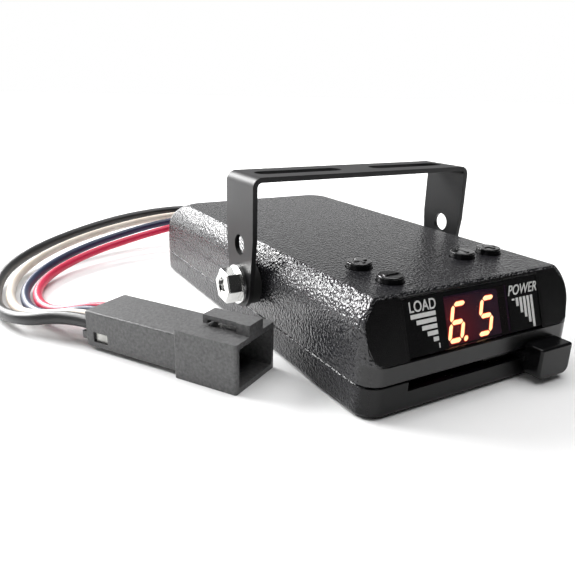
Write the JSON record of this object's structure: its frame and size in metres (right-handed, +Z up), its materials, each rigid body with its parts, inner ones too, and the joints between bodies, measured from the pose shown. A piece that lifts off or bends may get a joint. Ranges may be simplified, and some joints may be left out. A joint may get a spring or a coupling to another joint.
{
  "type": "trailer brake controller",
  "caption": "In-cab trailer brake controller: black two-part case with a numeric display, push buttons and a sprung hand lever, in a slotted steel bracket, with a wired in-line plug.",
  "frame": {"origin": "on the surface that the case rests on, under the middle of the unit, wires and plug left out", "axes": "+X to the right seen from the front, +Y from the front to the back along the unit, +Z up"},
  "size_m": [0.1641, 0.2217, 0.0542],
  "materials": {
    "case_plastic": "moulded black ABS, coarse textured and smooth satin",
    "panel_plastic": "smooth black ABS",
    "window_acrylic": "gloss black acrylic with printed marks",
    "filter_acrylic": "deep red tinted acrylic",
    "display_plastic": "dark display block with lit segments",
    "button_plastic": "gloss black ABS",
    "lever_plastic": "smooth black acetal",
    "board_laminate": "green solder mask on glass laminate",
    "component_plastic": "black moulded component bodies",
    "sink_aluminium": "extruded aluminium",
    "plated_steel": "zinc plated steel",
    "bolt_zinc": "bright zinc plated steel",
    "bracket_paint": "black powder coat on folded steel",
    "black_rubber": "black moulded rubber",
    "black_insulation": "black PVC insulation",
    "white_insulation": "off-white PVC insulation",
    "blue_insulation": "blue PVC insulation",
    "red_insulation": "red PVC insulation",
    "plug_nylon": "dark grey glass-filled nylon",
    "terminal_tin": "tinned brass"
  },
  "bodies": {
    "case": {"black_wire": "black_insulation", "blue_wire": "blue_insulation", "board_header": "component_plastic", "board_leads": "black_insulation", "board_screws": "plated_steel", "button_switches": "component_plastic", "capacitors": "component_plastic", "case_screws": "plated_steel", "controller_chip": "component_plastic", "display_filter": "filter_acrylic", "front_panel": "panel_plastic", "heat_sink": "sink_aluminium", "key_board": "board_laminate", "key_board_screws": "plated_steel", "label_window": "window_acrylic", "led_display": "display_plastic", "left_bolt": "bolt_zinc", "lever_spring": "plated_steel", "lower_shell": "case_plastic", "main_board": "board_laminate", "motion_sensor": "component_plastic", "plug_body": "plug_nylon", "plug_shroud": "plug_nylon", "plug_terminals": "terminal_tin", "power_transistors": "component_plastic", "red_wire": "red_insulation", "right_bolt": "bolt_zinc", "side_nuts": "plated_steel", "slide_pot": "plated_steel", "spacer_washers": "black_rubber", "spring_post": "case_plastic", "terminal_lock": "plated_steel", "upper_shell": "case_plastic", "white_wire": "white_insulation", "wire_grommet": "black_rubber"},
    "bracket": {"bracket": "bracket_paint"},
    "lever": {"hand_lever": "lever_plastic", "pot_wiper": "lever_plastic"},
    "left_minus": {"left_minus_button": "button_plastic"},
    "left_plus": {"left_plus_button": "button_plastic"},
    "right_minus": {"right_minus_button": "button_plastic"},
    "right_plus": {"right_plus_button": "button_plastic"}
  },
  "joints": [
    {"name": "bracket_tilt", "type": "hinge", "parent": "case", "child": "bracket", "pos_m": [0, -0.011, 0.019], "axis": [1, 0, 0], "range_deg": [-50, 45]},
    {"name": "lever_slide", "type": "slide", "parent": "case", "child": "lever", "axis": [-1, 0, 0], "range_m": [0, 0.04], "stiffness_N_per_m": 50, "springref_m": -0.02, "deforming": ["lever_spring"]},
    {"name": "left_minus_press", "type": "slide", "parent": "case", "child": "left_minus", "axis": [0, 0, -1], "range_m": [0, 0.0005], "stiffness_N_per_m": 3000, "springref_m": -0.0002},
    {"name": "left_plus_press", "type": "slide", "parent": "case", "child": "left_plus", "axis": [0, 0, -1], "range_m": [0, 0.0005], "stiffness_N_per_m": 3000, "springref_m": -0.0002},
    {"name": "right_minus_press", "type": "slide", "parent": "case", "child": "right_minus", "axis": [0, 0, -1], "range_m": [0, 0.0005], "stiffness_N_per_m": 3000, "springref_m": -0.0002},
    {"name": "right_plus_press", "type": "slide", "parent": "case", "child": "right_plus", "axis": [0, 0, -1], "range_m": [0, 0.0005], "stiffness_N_per_m": 3000, "springref_m": -0.0002}
  ]
}
